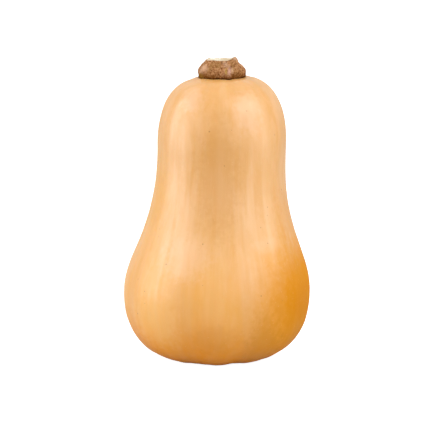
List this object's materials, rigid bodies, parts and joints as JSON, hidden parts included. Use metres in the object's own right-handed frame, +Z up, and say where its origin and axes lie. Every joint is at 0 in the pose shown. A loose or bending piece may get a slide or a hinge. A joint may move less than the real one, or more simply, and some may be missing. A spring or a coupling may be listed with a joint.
{
  "type": "butternut squash",
  "caption": "Smooth bell-shaped squash with a long neck, a wide round bulb and a short cut woody stem, standing on its blossom end.",
  "frame": {"origin": "on the surface it stands on, under the middle of the bulb", "axes": "+Z up from the blossom end to the stem, -Y towards the front, +X to the right, the side the neck leans to"},
  "size_m": [0.1257, 0.1232, 0.2041],
  "materials": {
    "rind": "satin",
    "stem": "matte"
  },
  "bodies": {
    "root": {"fruit": "rind", "stem": "stem"}
  },
  "joints": []
}
